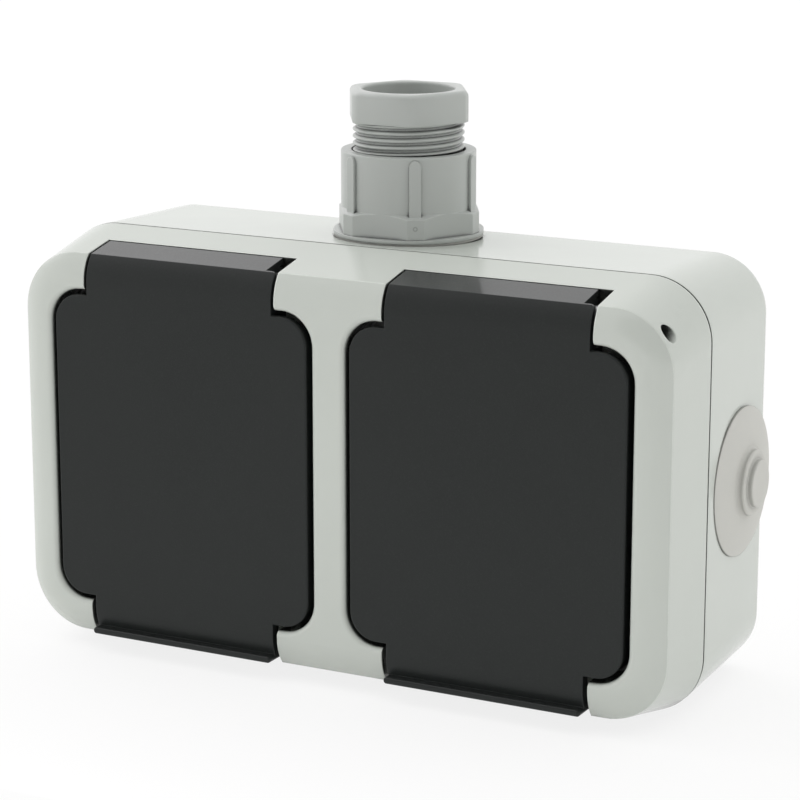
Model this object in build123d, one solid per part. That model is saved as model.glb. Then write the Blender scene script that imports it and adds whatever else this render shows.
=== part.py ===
from build123d import *
import os
from math import asin, cos, radians, sin, sqrt, tan

# Double surface-mounted socket: two sprung lids, a cable gland on top, a blanking grommet at the side.
# Millimetres. The origin is the middle of the back face, on the wall: +X right, +Z up, the room is at -Y.
# A "depth" is a distance from the wall towards the room, so depth d lies at y = -d.

# Housing: two lids with a bar between them and a border round both give its size at the seam
lid_width = 61.1
lid_height = 66.4
middle_bar = 9.9
side_border = 9.55
end_border = 12.1
body_depth = 55.0
box_depth = 35.3
seam_corner = 13.0
back_draft = 1.05
back_corner = 12.0
back_edge_round = 3.0
shell_wall = 2.5
back_wall = 3.0
seam_gap = 0.6

# Front of the frame: a crisp crease all round, then a convex roll up to the most forward ring
crease_side_draft = 1.0
crease_end_draft = 3.45
crease_corner = 13.0
crease_setback = 2.2
roll_width = 6.0
opening_edge_round = 1.3
edge_crossing = 0.02
tray_setback = 9.0
tray_wall = 2.4
tub_wall = 2.0
core_skin = 4.0
cut_spare = 0.6

# Joint between frame and box: a tongue of the frame presses a gasket on a ledge of the box
tongue_wall = 1.6
tongue_clearance = 0.3
tongue_reach = 2.6
gasket_thickness = 1.6
ledge_thickness = 1.8
ledge_width = 2.1

# Lids
lid_corner = 6.0
lid_gap = 1.05
lid_plate = 2.5
lid_edge_round = 0.45
lid_skirt_wall = 1.6
lid_skirt_reach = 4.0
notch_half_width = 23.1
hinge_side_gap = 0.7
hinge_corner_round = 0.8
hinge_top_gap_right = 3.2
hinge_top_wall = 1.3
hinge_back_reach = 9.6
tab_side_gap = 1.05
lip_reach = 1.5
lip_thickness = 1.4
lip_low_inset = 0.55
lip_round = 0.5
lip_end_flat = 0.1

# Hinge
hinge_setback = 7.2
hinge_drop = 2.35
pin_radius = 1.2
running_clearance = 0.05
knuckle_radius = 2.3
knuckle_length = 7.0
swing_clearance = 0.3
swing_room_angles = (0, 15, 30, 45, 60, 75)
trough_wall = 1.8
cheek_wall = 4.0
spring_wire_radius = 0.25
spring_mean_radius = 1.6
spring_pitch = 0.6
spring_turns = 6.5
spring_leg_clearance = 0.1

# Socket wells and the parts behind them
well_radius = 19.6
well_depth = 17.5
pot_wall = 2.2
pot_floor = 3.2
pot_setback = 6.3
pot_clearance = 0.3
collar_wall = 2.9
collar_reach = 3.0
guide_rib_width = 5.0
guide_rib_reach = 1.7
guide_rib_drop = 2.0
pin_spacing = 19.0
pin_hole_radius = 2.75
earth_slot_width = 8.0
earth_slot_drop = 4.0
earth_width = 6.0
earth_thickness = 0.8
earth_tip_radius = 17.6
earth_arm_gap = 0.4
earth_bend_drop = 2.0
earth_tip_drop = 5.0
earth_foot_rise = 2.0
carrier_size = 43.0
carrier_corner = 4.0
carrier_depth = 13.0
carrier_front_wall = 1.6
pocket_clearance = 0.3
tulip_radius = 3.3
tulip_bore = 2.35
tulip_slit = 0.8
tulip_slit_length = 7.0
strip_width = 5.0
strip_thickness = 1.2
terminal_offset = 11.0
terminal_size = 7.0
terminal_length = 7.0
link_width = 5.6
link_thickness = 1.0
link_overhang = 4.0
earth_link_depth = 20.0

# Lid gasket, carried between two ring ribs inside the lid
gasket_width = 3.4
gasket_lift = 0.3
gasket_rib_wall = 1.4
gasket_rib_reach = 2.0
gasket_rib_clearance = 0.2

# Screws
frame_screw_inset_x = 5.55
frame_screw_inset_z = 6.2
frame_post_radius = 3.5
insert_screw_offset = 18.2
screw_radius = 1.5
screw_head_radius = 2.8
screw_head_height = 2.0
screw_slot_width = 0.8
screw_slot_depth = 0.9
screw_hole_clearance = 0.1
frame_screw_length = 14.0
insert_screw_length = 20.0
centre_screw_length = 12.2
screw_end_room = 1.0
terminal_screw_length = 6.0
earth_screw_length = 4.5

# Wall fixing
wall_hole_inset_x = 25.6
wall_hole_inset_z = 9.3
wall_hole_radius = 2.3

# Level blind hole behind the crease, in the rounded upper right corner
corner_hole_radius = 1.7
corner_hole_setback = 2.9
corner_hole_drop = 4.8
corner_hole_length = 9.0
corner_hole_wall = 1.5

# Cable gland
entry_offset = 0.25
entry_seat_inset = 0.4
gland_x = -1.25
gland_flange_radius = 16.0
gland_flange_thickness = 0.8
gland_seal_thickness = 0.6
gland_seal_inset = 0.1
gland_hex_flats = 28.7
gland_hex_corner = 15.6
gland_hex_height = 5.1
gland_hex_chamfer = 0.9
gland_hex_chamfer_margin = 0.2
gland_barrel_radius = 14.35
gland_barrel_height = 11.9
gland_rib_radius = 15.0
gland_rib_width = 2.5
gland_rib_drop = 0.5
gland_body_turn = 2.5
gland_thread_radius = 11.85
gland_thread_clearance = 0.3
gland_floor = 2.2
gland_stub_radius = 10.0
gland_stub_bore = 7.8
gland_stub_length = 8.5
gland_hole_clearance = 0.3
gland_pad_wall = 3.3
seat_margin = 0.2
gland_head_flats = 24.3
gland_head_corner = 13.43
gland_head_height = 6.65
gland_head_round = 1.2
gland_screw_turn = 1.0
gland_head_lift = 6.3
gland_screw_bore = 9.8
gland_bore_round = 0.6
gland_engaged_length = 4.8
gland_washer_thickness = 0.8
gland_washer_bore = 8.0
gland_washer_clearance = 0.45
cable_bore = 6.5
seal_clearance = 0.35
locknut_room = 1.0
locknut_height = 4.5
locknut_notch_width = 3.0

# Blanking grommet
grommet_radius = 15.6
grommet_edge = 0.45
grommet_bulge = 0.25
grommet_dome = 1.9
grommet_foot_round = 0.8
grommet_step_radius = 6.85
grommet_step = 1.45
grommet_step_round = 0.5
grommet_button_radius = 4.9
grommet_button = 1.15
grommet_button_round = 0.3
grommet_bead_lip = 0.5
grommet_neck_clearance = 0.2
grommet_bead_length = 2.6
grommet_neck_wall = 1.4
grommet_wall = 2.6

# Sizes and places worked out from the sizes above; the lids come to stand at the usual pitch of 71
lid_pitch = lid_width + middle_bar
seam_width = lid_pitch + lid_width + 2 * side_border
seam_height = lid_height + 2 * end_border
back_width = seam_width - 2 * back_draft
back_height = seam_height - 2 * back_draft
crease_width = seam_width - 2 * crease_side_draft
crease_height = seam_height - 2 * crease_end_draft
crease_depth = body_depth - crease_setback
frame_rear = box_depth + seam_gap
tray_front = body_depth - tray_setback
tray_back = tray_front - tray_wall
tongue_end = box_depth - tongue_reach
ledge_front = tongue_end - gasket_thickness
ledge_back = ledge_front - ledge_thickness
entry_depth = (back_wall + ledge_back) / 2 + entry_offset
locknut_radius = entry_depth - back_wall - locknut_room
locknut_notch_depth = (locknut_radius - gland_stub_radius) / 2
grommet_bead_radius = ledge_back - entry_depth
grommet_hole_radius = grommet_bead_radius - grommet_bead_lip
grommet_bore_radius = grommet_hole_radius - grommet_neck_clearance - grommet_neck_wall
crease_half = crease_height / 2
roll_radius = (roll_width**2 + crease_setback**2) / (2 * crease_setback)
ridge_half = crease_half - roll_width
top_slope = (seam_height - crease_height) / 2 / (crease_depth - frame_rear)
hinge_depth = body_depth - hinge_setback
hinge_height = crease_half - hinge_drop
hinge_half_width = notch_half_width - hinge_side_gap
hinge_rear = body_depth - hinge_back_reach
hinge_rear_height = crease_half + top_slope * (crease_depth - hinge_rear)
swing_radius = sqrt((hinge_depth - hinge_rear) ** 2 + (hinge_rear_height - hinge_height) ** 2)
trough_radius = swing_radius + swing_clearance
spring_lid_leg = hinge_depth - hinge_rear - spring_leg_clearance
spring_leg_end = trough_radius - spring_leg_clearance - spring_wire_radius
spring_frame_leg = sqrt(spring_leg_end**2 - spring_mean_radius**2)
tab_half_width = notch_half_width - tab_side_gap
lip_low = crease_half - lip_low_inset
opening_width = lid_width + 2 * lid_gap
opening_height = lid_height + 2 * lid_gap
opening_corner = lid_corner + lid_gap
pot_rim = body_depth - pot_setback
pot_radius = well_radius + pot_wall
pot_back = pot_rim - well_depth - pot_floor
carrier_back = pot_back - carrier_depth
collar_bore = pot_radius + pot_clearance
collar_front = tray_front + collar_reach
gasket_middle = collar_bore + collar_wall / 2
frame_screw_x = (lid_pitch + lid_width) / 2 - frame_screw_inset_x
frame_screw_z = lid_height / 2 - frame_screw_inset_z
wall_hole_spacing_x = seam_width - 2 * wall_hole_inset_x
wall_hole_spacing_z = seam_height - 2 * wall_hole_inset_z
grommet_seat_x = seam_width / 2 - entry_seat_inset
gland_seat_height = seam_height / 2 - entry_seat_inset
gland_y = -entry_depth
flange_low = gland_seat_height + gland_seal_thickness
hex_low = flange_low + gland_flange_thickness
hex_high = hex_low + gland_hex_height
barrel_high = hex_high + gland_barrel_height
head_low = barrel_high + gland_head_lift
head_high = head_low + gland_head_height
gland_bore = gland_thread_radius + gland_thread_clearance
gland_floor_high = flange_low + gland_floor
shank_low = barrel_high - gland_engaged_length
washer_low = shank_low - gland_washer_thickness
lid_sides = {"left": -lid_pitch / 2, "right": lid_pitch / 2}


# Helpers: planes, outlines and simple solids placed by depth from the wall
def at(depth):
    return Plane.XZ.offset(depth)


def rounded(depth, width, height, corner, x=0.0, z=0.0):
    return at(depth) * Pos(x, z) * RectangleRounded(width, height, corner)


def slab(near, far, width, height, corner, x=0.0, z=0.0):
    return extrude(rounded(near, width, height, corner, x, z), far - near)


def block(x_low, x_high, near, far, z_low, z_high):
    middle = Pos((x_low + x_high) / 2, (z_low + z_high) / 2)
    return extrude(at(near) * middle * Rectangle(x_high - x_low, z_high - z_low), far - near)


def rod(near, far, radius, x=0.0, z=0.0):
    return extrude(at(near) * Pos(x, z) * Circle(radius), far - near)


def rod_along_x(x_low, x_high, depth, z, radius):
    return extrude(Plane.YZ.offset(x_low) * Pos(-depth, z) * Circle(radius), x_high - x_low)


def rod_upright(z_low, z_high, radius, x, y):
    return extrude(Plane.XY.offset(z_low) * Pos(x, y) * Circle(radius), z_high - z_low)


def across(section, x_low, x_high):
    return extrude(Plane.YZ.offset(x_low) * section, x_high - x_low)


def side_point(depth, z):
    return (-depth, z)


def box_outline(depth, inset):
    share = depth / box_depth
    width = back_width + (seam_width - back_width) * share - 2 * inset
    height = back_height + (seam_height - back_height) * share - 2 * inset
    corner = back_corner + (seam_corner - back_corner) * share - inset
    return rounded(depth, width, height, corner)


def frame_outline(depth, inset):
    share = (depth - frame_rear) / (crease_depth - frame_rear)
    width = seam_width + (crease_width - seam_width) * share - 2 * inset
    height = seam_height + (crease_height - seam_height) * share - 2 * inset
    corner = seam_corner + (crease_corner - seam_corner) * share - inset
    return rounded(depth, width, height, corner)


def tapered(outline, near, far, inset):
    return loft([outline(near, inset), outline(far, inset)], ruled=True)


def ring(outline, near, far, outer_inset, inner_inset):
    return tapered(outline, near, far, outer_inset) - tapered(outline, near, far, inner_inset)


def roll_point(angle, sign):
    """Point of the convex roll, at an angle from its most forward ring."""
    return side_point(
        body_depth - roll_radius * (1 - cos(angle)), sign * (ridge_half + roll_radius * sin(angle))
    )


roll_angle = asin(roll_width / roll_radius)


def rounded_path(depth, width, height, corner, x=0.0):
    """Closed rounded rectangle that starts in the middle of its upper side."""
    right = width / 2
    top = height / 2
    upper = Line((0, top), (right - corner, top))
    upper_right = JernArc(upper @ 1, upper % 1, corner, -90)
    side_right = Line(upper_right @ 1, (right, corner - top))
    lower_right = JernArc(side_right @ 1, side_right % 1, corner, -90)
    lower = Line(lower_right @ 1, (corner - right, -top))
    lower_left = JernArc(lower @ 1, lower % 1, corner, -90)
    side_left = Line(lower_left @ 1, (-right, top - corner))
    upper_left = JernArc(side_left @ 1, side_left % 1, corner, -90)
    closing = Line(upper_left @ 1, (0, top))
    runs = [upper, upper_right, side_right, lower_right, lower, lower_left, side_left, upper_left, closing]
    edges = [edge for run in runs for edge in run.edges()]
    return at(depth) * Pos(x, 0) * Wire(edges)


def roll_cutter():
    """What the convex roll takes off a square front edge, swept round the crease."""
    spare = cut_spare
    crease = roll_point(roll_angle, 1)
    outside = crease_half + spare
    before = body_depth + spare
    profile = Polyline(
        crease,
        side_point(crease_depth, outside),
        side_point(before, outside),
        side_point(before, ridge_half),
        side_point(body_depth, ridge_half),
    ) + ThreePointArc(side_point(body_depth, ridge_half), roll_point(roll_angle / 2, 1), crease)
    path = rounded_path(crease_depth, crease_width, crease_height, crease_corner)
    return sweep(Plane.YZ * make_face(profile.edges()), path=path)


def opening_edge_cutter(x):
    """What the rounded front edge of a lid opening takes off, with an arc that crosses both faces."""
    spare = cut_spare
    edge = opening_height / 2
    radius = opening_edge_round
    outer = radius + edge_crossing
    reach = radius - outer / sqrt(2)
    start = side_point(body_depth + edge_crossing, edge + radius)
    end = side_point(body_depth - radius, edge - edge_crossing)
    profile = Polyline(
        end,
        side_point(body_depth - radius, edge - spare),
        side_point(body_depth + spare, edge - spare),
        side_point(body_depth + spare, edge + radius),
        start,
    ) + ThreePointArc(start, side_point(body_depth - reach, edge + reach), end)
    path = rounded_path(body_depth, opening_width, opening_height, opening_corner, x)
    return sweep(Plane.YZ.offset(x) * make_face(profile.edges()), path=path)


def screw(length):
    """Slotted pan-head screw that points along -Z, with the underside of its head at the origin."""
    head = extrude(Circle(screw_head_radius), screw_head_height)
    head = fillet(head.edges().sort_by(Axis.Z)[-1:], screw_head_height / 3)
    slot = Box(3 * screw_head_radius, screw_slot_width, 2 * screw_slot_depth)
    head -= Pos(0, 0, screw_head_height) * slot
    return head + extrude(Circle(screw_radius), -length)


def screw_from_room(length, depth, x, z):
    return Plane(origin=(x, -depth, z), x_dir=(1, 0, 0), z_dir=(0, -1, 0)) * screw(length)


def screw_from_wall(length, depth, x, z):
    return Plane(origin=(x, -depth, z), x_dir=(1, 0, 0), z_dir=(0, 1, 0)) * screw(length)


# Places of the screws
screw_hole = screw_radius + screw_hole_clearance
frame_screw_places = [(i * frame_screw_x, k * frame_screw_z) for i in (-1, 1) for k in (-1, 1)]
insert_screw_places = [
    (x + k * insert_screw_offset, k * insert_screw_offset) for x in lid_sides.values() for k in (-1, 1)
]
wall_hole_places = [
    (i * wall_hole_spacing_x / 2, k * wall_hole_spacing_z / 2) for i in (-1, 1) for k in (-1, 1)
]
line_offset = -pin_spacing / 2
neutral_offset = pin_spacing / 2


# Housing
def make_back_box():
    box = tapered(box_outline, 0, box_depth, 0)
    box = fillet(box.faces().sort_by(Axis.Y)[-1].edges(), back_edge_round)
    box -= tapered(box_outline, back_wall, box_depth, shell_wall)
    box += ring(box_outline, ledge_back, ledge_front, shell_wall / 2, shell_wall + ledge_width)
    # Flat seats for the gland and the grommet, outside and inside
    seat = gland_seat_height
    inside = seat - gland_pad_wall
    pad = rod_upright(inside, seat, gland_flange_radius, gland_x, gland_y)
    box += pad & block(-seam_width, seam_width, 0, ledge_back, 0, seam_height)
    box -= rod_upright(seat, seat + shell_wall, gland_flange_radius + seat_margin, gland_x, gland_y)
    box -= rod_upright(inside, seat, gland_stub_radius + gland_hole_clearance, gland_x, gland_y)
    seat = grommet_seat_x
    inside = seat - grommet_wall
    pad = rod_along_x(inside, seat, entry_depth, 0, grommet_radius)
    box += pad & block(0, seam_width, 0, ledge_back, -seam_height, seam_height)
    box -= rod_along_x(seat, seat + shell_wall, entry_depth, 0, grommet_radius + seat_margin)
    box -= rod_along_x(inside, seat, entry_depth, 0, grommet_hole_radius)
    box -= rod_along_x(inside - grommet_wall, inside, entry_depth, 0, grommet_bead_radius + seat_margin)
    # Posts for the frame and the inserts
    for x, z in frame_screw_places:
        box += rod(back_wall / 2, tray_back, frame_post_radius, x, z)
        box -= rod(tray_back - frame_screw_length, tray_back, screw_hole, x, z)
    for x, z in insert_screw_places:
        box += rod(back_wall / 2, carrier_back, frame_post_radius, x, z)
        box -= rod(pot_back - insert_screw_length, carrier_back, screw_hole, x, z)
    for x, z in wall_hole_places:
        box -= rod(0, back_wall, wall_hole_radius, x, z)
    return box


def hinge_rod(x, x_low, x_high, radius):
    """Round bar about a lid's hinge axis."""
    return rod_along_x(x + x_low, x + x_high, hinge_depth, hinge_height, radius)


def corner_hole_rod(wall):
    """Level bar that fills the corner hole, with a wall round it and at its end."""
    low = crease_width / 2 - corner_hole_length - wall
    depth = crease_depth - corner_hole_setback
    return rod_along_x(low, seam_width / 2, depth, crease_half - corner_hole_drop, corner_hole_radius + wall)


def make_front_frame():
    frame = tapered(frame_outline, frame_rear, crease_depth, 0)
    frame += slab(crease_depth, body_depth, crease_width, crease_height, crease_corner)
    frame -= roll_cutter()
    outside = tapered(frame_outline, frame_rear, crease_depth, 0)
    frame -= tapered(frame_outline, frame_rear, tray_back, shell_wall)
    # Hollow rails, left full beside the hinge notches and round the corner hole
    core_front = body_depth - core_skin
    core = tapered(frame_outline, tray_back, core_front, shell_wall)
    core -= corner_hole_rod(corner_hole_wall)
    cheek_outside = notch_half_width + cheek_wall
    for x in lid_sides.values():
        core -= block(
            x - cheek_outside, x + cheek_outside, tray_back, core_front, -seam_height / 2, seam_height / 2
        )
        core -= slab(
            tray_back,
            core_front,
            opening_width + 2 * tub_wall,
            opening_height + 2 * tub_wall,
            opening_corner + tub_wall,
            x,
        )
    frame -= core
    for x in lid_sides.values():
        frame += hinge_rod(x, -cheek_outside, cheek_outside, trough_radius + trough_wall) & outside
    # Lid openings, hinge notches above, finger notches below, and the collar that the pot stands in
    beyond = body_depth + cut_spare
    for x in lid_sides.values():
        low = x - notch_half_width
        high = x + notch_half_width
        frame -= slab(tray_front, beyond, opening_width, opening_height, opening_corner, x)
        frame -= opening_edge_cutter(x)
        frame -= block(low, high, tray_front, beyond, opening_height / 4, seam_height)
        frame -= block(low, high, tray_front, beyond, -seam_height, -opening_height / 4)
        frame += rod(tray_back, collar_front, collar_bore + collar_wall, x)
        frame -= rod(tray_back, collar_front, collar_bore, x)
        frame -= hinge_rod(x, -notch_half_width, notch_half_width, trough_radius)
        frame -= hinge_rod(x, -cheek_outside, cheek_outside, pin_radius + running_clearance)
    for x, z in frame_screw_places:
        frame -= rod(tray_back, tray_front, screw_hole, x, z)
    frame -= corner_hole_rod(0)
    # Tongue that reaches into the box
    tongue_inset = shell_wall + tongue_clearance
    shoulder = frame_rear + shell_wall
    tongue = ring(box_outline, tongue_end, shoulder, tongue_inset, tongue_inset + tongue_wall)
    tongue += ring(frame_outline, frame_rear, shoulder, shell_wall / 2, tongue_inset + tongue_wall / 2)
    return frame + tongue


def make_frame_gasket():
    inset = shell_wall + tongue_clearance
    return ring(box_outline, ledge_front, tongue_end, inset, inset + tongue_wall)


# Lids
def top_section_outer():
    """Outer section of the hinge part of a lid, flush with the frame's roll and top wall."""
    low = opening_height / 2 - 2 * lid_gap - lid_plate
    ridge = side_point(body_depth, ridge_half)
    crease = roll_point(roll_angle, 1)
    inner_crease = crease_half - hinge_top_wall + top_slope * hinge_top_wall
    lines = Polyline(
        crease,
        side_point(hinge_rear, hinge_rear_height),
        side_point(hinge_rear, hinge_rear_height - hinge_top_wall),
        side_point(crease_depth - hinge_top_wall, inner_crease),
        side_point(body_depth - lid_plate, ridge_half + hinge_top_wall),
        side_point(body_depth - lid_plate, low),
        side_point(body_depth, low),
        ridge,
    ) + ThreePointArc(ridge, roll_point(roll_angle / 2, 1), crease)
    return make_face(lines.edges())


def tab_section():
    """Section of the tab below a lid, which follows the frame's roll down to the lip."""
    high = -(opening_height / 2 - 2 * lid_gap - lid_plate)
    lip_top_angle = asin((lip_low - lip_thickness / 2 - ridge_half) / roll_radius)
    ridge = side_point(body_depth, -ridge_half)
    end = roll_point(lip_top_angle, -1)
    back = body_depth - roll_radius * (1 - cos(lip_top_angle)) - lid_plate
    lines = Polyline(
        end,
        side_point(back, end[1]),
        side_point(body_depth - lid_plate, -ridge_half),
        side_point(body_depth - lid_plate, high),
        side_point(body_depth, high),
        ridge,
    ) + ThreePointArc(ridge, roll_point(lip_top_angle / 2, -1), end)
    return make_face(lines.edges()), back


def swing_room(x, side):
    """Room that a lid needs beside its hinge to swing past the rounded corner of its opening."""
    arc_x = opening_width / 2 - opening_corner
    arc_z = opening_height / 2 - opening_corner
    reach = hinge_setback - opening_edge_round
    outline = []
    for angle in swing_room_angles:
        turn = radians(angle)
        drop = hinge_height - arc_z - (opening_corner + opening_edge_round) * cos(turn)
        radius = sqrt(reach**2 + drop**2) + opening_edge_round + swing_clearance
        outline.append((arc_x + opening_corner * sin(turn), radius))
    start = [(hinge_half_width, 0), (hinge_half_width, outline[0][1])]
    face = make_face(Polyline(*start, *outline, (outline[-1][0], 0), close=True))
    origin = (x, -hinge_depth, hinge_height)
    place = Plane(origin=origin, x_dir=(side, 0, 0), z_dir=(0, -side, 0))
    return revolve(place * face, Axis(origin, (1, 0, 0)))


def hinge_corner_cutter(x):
    """What a lid's hinge part loses at its rounded upper right corner, by an arc across both faces."""
    middle_x = x + hinge_half_width - hinge_corner_round
    middle_z = crease_half - hinge_corner_round
    corner = block(
        middle_x, x + notch_half_width, hinge_rear - cut_spare, body_depth, middle_z, seam_height / 2
    )
    return corner - rod(
        hinge_rear - cut_spare, body_depth, hinge_corner_round + edge_crossing, middle_x, middle_z
    )


def make_lid(x):
    back = body_depth - lid_plate
    plate = slab(back, body_depth, lid_width, lid_height, lid_corner, x)
    plate = fillet(plate.faces().sort_by(Axis.Y)[0].edges(), lid_edge_round)
    inner = [size - 2 * lid_skirt_wall for size in (lid_width, lid_height)]
    skirt = slab(back - lid_skirt_reach, back, lid_width, lid_height, lid_corner, x)
    skirt -= slab(back - lid_skirt_reach, back, inner[0], inner[1], lid_corner - lid_skirt_wall, x)
    lid = plate + skirt
    for side in (-1, 1):
        lid -= swing_room(x, side)
    # Hinge part with its two knuckles
    hinge = across(top_section_outer(), x - hinge_half_width, x + hinge_half_width)
    top_end = notch_half_width - hinge_top_gap_right
    knuckles = [(-hinge_half_width, knuckle_length - hinge_half_width), (top_end - knuckle_length, top_end)]
    web_top = hinge_rear_height - hinge_top_wall
    for low, high in knuckles:
        hinge += hinge_rod(x, low, high, knuckle_radius)
        hinge += block(
            x + low,
            x + high,
            hinge_depth - knuckle_radius,
            hinge_depth + knuckle_radius,
            hinge_height,
            web_top - top_slope * knuckle_radius,
        )
    lid += hinge
    lid -= block(
        x + top_end,
        x + notch_half_width,
        hinge_rear - cut_spare,
        crease_depth - lid_edge_round,
        hinge_height - knuckle_radius,
        seam_height / 2,
    )
    lid -= hinge_corner_cutter(x)
    lid -= hinge_rod(x, -notch_half_width, notch_half_width, pin_radius + running_clearance)
    # Tab and finger lip
    section, tab_back = tab_section()
    lip = slab(
        tab_back,
        body_depth + lip_reach,
        2 * tab_half_width,
        lip_thickness,
        (lip_thickness - lip_end_flat) / 2,
        x,
        lip_thickness / 2 - lip_low,
    )
    lip = fillet(lip.faces().sort_by(Axis.Y)[0].edges(), lip_round)
    lid += across(section, x - tab_half_width, x + tab_half_width) + lip
    # Ring ribs for the gasket
    for edge in (-1, 1):
        middle = gasket_middle + edge * (gasket_width / 2 + gasket_rib_clearance + gasket_rib_wall / 2)
        rib = rod(back - gasket_rib_reach, back, middle + gasket_rib_wall / 2, x)
        lid += rib - rod(back - gasket_rib_reach, back, middle - gasket_rib_wall / 2, x)
    return lid


def make_lid_gasket(x):
    near = collar_front + gasket_lift
    far = body_depth - lid_plate
    outer = rod(near, far, gasket_middle + gasket_width / 2, x)
    return outer - rod(near, far, gasket_middle - gasket_width / 2, x)


def make_hinge_pin(x):
    reach = notch_half_width + cheek_wall - hinge_side_gap
    return hinge_rod(x, -reach, reach, pin_radius)


def make_lid_spring(x):
    """Torsion spring round the hinge pin: one leg under the lid's top wall, one in the trough."""
    length = spring_pitch * spring_turns
    helix = Helix(spring_pitch, length, spring_mean_radius)
    lid_leg = Line(helix @ 0 - (helix % 0) * spring_lid_leg, helix @ 0)
    frame_leg = Line(helix @ 1, helix @ 1 + (helix % 1) * spring_frame_leg)
    path = Wire(lid_leg.edges() + helix.edges() + frame_leg.edges())
    wire = Plane(origin=path @ 0, z_dir=path % 0) * Circle(spring_wire_radius)
    # The helix runs along +Z from +X: it is turned to run along +X from the top of the pin
    place = Plane(
        origin=(x - length / 2, -hinge_depth, hinge_height), x_dir=(0, 0, 1), z_dir=(1, 0, 0)
    )
    return place * sweep(wire, path=path)


# Outlets
def make_pot(x):
    pot = rod(pot_back, pot_rim, pot_radius, x)
    pot -= rod(pot_back + pot_floor, pot_rim, well_radius, x)
    for side in (-1, 1):
        reach = well_radius - guide_rib_reach / 2 + pot_wall / 4
        rib_size = guide_rib_reach + pot_wall / 2
        middle = x + side * reach
        pot += block(
            middle - rib_size / 2,
            middle + rib_size / 2,
            pot_back + pot_floor,
            pot_rim - guide_rib_drop,
            -guide_rib_width / 2,
            guide_rib_width / 2,
        )
        pot -= rod(pot_back, pot_back + pot_floor, pin_hole_radius, x + side * pin_spacing / 2)
        slot = block(
            x - earth_slot_width / 2,
            x + earth_slot_width / 2,
            pot_back + pot_floor,
            pot_rim - earth_slot_drop,
            0,
            pot_radius + cut_spare,
        )
        pot -= slot if side > 0 else mirror(slot, Plane.XY)
    return pot - rod(pot_back, pot_back + pot_floor, screw_hole, x)


def make_earth_strap(x):
    """Strap behind the well's floor, with a sprung clip bent into the well at each end."""
    half = earth_thickness / 2
    arm = pot_radius + earth_arm_gap + half
    base = pot_back - half
    tip = pot_rim - earth_slot_drop - earth_thickness
    clip = Polyline(
        side_point(base, 0),
        side_point(base, arm),
        side_point(tip - earth_bend_drop, arm),
        side_point(tip - earth_tip_drop, earth_tip_radius + half),
        side_point(pot_back + pot_floor + earth_foot_rise, well_radius),
    )
    upper = across(trace(clip, earth_thickness), x - earth_width / 2, x + earth_width / 2)
    strap = upper + mirror(upper, Plane.XY)
    tail = block(
        x - earth_width / 2,
        x + earth_width / 2,
        earth_link_depth - link_width / 2,
        base,
        arm - half,
        arm + half,
    )
    strap += tail
    strap -= rod(pot_back - earth_thickness, pot_back, screw_hole, x)
    hole_low = arm - earth_thickness
    hole_high = arm + earth_thickness
    return strap - rod_upright(hole_low, hole_high, screw_hole, x, -earth_link_depth)


earth_link_low = pot_radius + earth_arm_gap + earth_thickness


def contact_places():
    """Offset of each pin from the middle of its outlet, and the side its terminal lies on."""
    return {"line": (line_offset, -1), "neutral": (neutral_offset, 1)}


def make_contact(x, side):
    """Split sleeve that grips a plug pin, joined by a strip to its terminal block."""
    sleeve_front = pot_back - carrier_front_wall - pocket_clearance
    z = side * terminal_offset
    half_strip = strip_width / 2
    contact = rod(carrier_back, sleeve_front, tulip_radius, x)
    slit_start = sleeve_front - tulip_slit_length
    contact += block(
        x - half_strip, x + half_strip, carrier_back, carrier_back + strip_thickness, min(0, z), max(0, z)
    )
    half_block = terminal_size / 2
    block_front = carrier_back + terminal_length
    contact += block(
        x - half_block, x + half_block, carrier_back, block_front, z - half_block, z + half_block
    )
    contact -= rod(carrier_back + strip_thickness, sleeve_front, tulip_bore, x)
    reach = tulip_radius + cut_spare
    contact -= block(x - reach, x + reach, slit_start, sleeve_front, -tulip_slit / 2, tulip_slit / 2)
    return contact - rod(carrier_back, block_front, screw_hole, x, z)


def make_carrier(x):
    carrier = slab(carrier_back, pot_back, carrier_size, carrier_size, carrier_corner, x)
    gap = pocket_clearance
    groove = earth_width / 2 + gap
    groove_back = pot_back - earth_thickness
    carrier -= block(x - groove, x + groove, groove_back, pot_back, -carrier_size, carrier_size)
    for offset, side in contact_places().values():
        pin_x = x + offset
        z = side * terminal_offset
        pocket_front = pot_back - carrier_front_wall
        half_strip = strip_width / 2 + gap
        half_block = terminal_size / 2 + gap
        carrier -= rod(carrier_back, pocket_front, tulip_radius + gap, pin_x)
        carrier -= rod(pocket_front, pot_back, pin_hole_radius, pin_x)
        strip_front = carrier_back + strip_thickness + gap
        carrier -= block(
            pin_x - half_strip, pin_x + half_strip, carrier_back, strip_front, min(0, z), max(0, z)
        )
        carrier -= block(
            pin_x - half_block,
            pin_x + half_block,
            carrier_back,
            carrier_back + terminal_length + gap,
            z - half_block,
            z + half_block,
        )
    centre_hole_end = pot_back + pot_floor - centre_screw_length - screw_end_room
    carrier -= rod(centre_hole_end, pot_back, screw_hole, x)
    carrier -= rod_upright(
        earth_link_low - earth_thickness - earth_screw_length,
        carrier_size / 2,
        screw_hole,
        x,
        -earth_link_depth,
    )
    for k in (-1, 1):
        carrier -= rod(
            carrier_back, pot_back, screw_hole, x + k * insert_screw_offset, k * insert_screw_offset
        )
    return carrier


def make_link(offset, side):
    """Flat bar across the back of both carriers, under the terminal screws."""
    z = side * terminal_offset
    reach = lid_pitch / 2 + link_overhang
    near = carrier_back - link_thickness
    bar = block(offset - reach, offset + reach, near, carrier_back, z - link_width / 2, z + link_width / 2)
    for x in lid_sides.values():
        bar -= rod(near, carrier_back, screw_hole, x + offset, z)
    return bar


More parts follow.
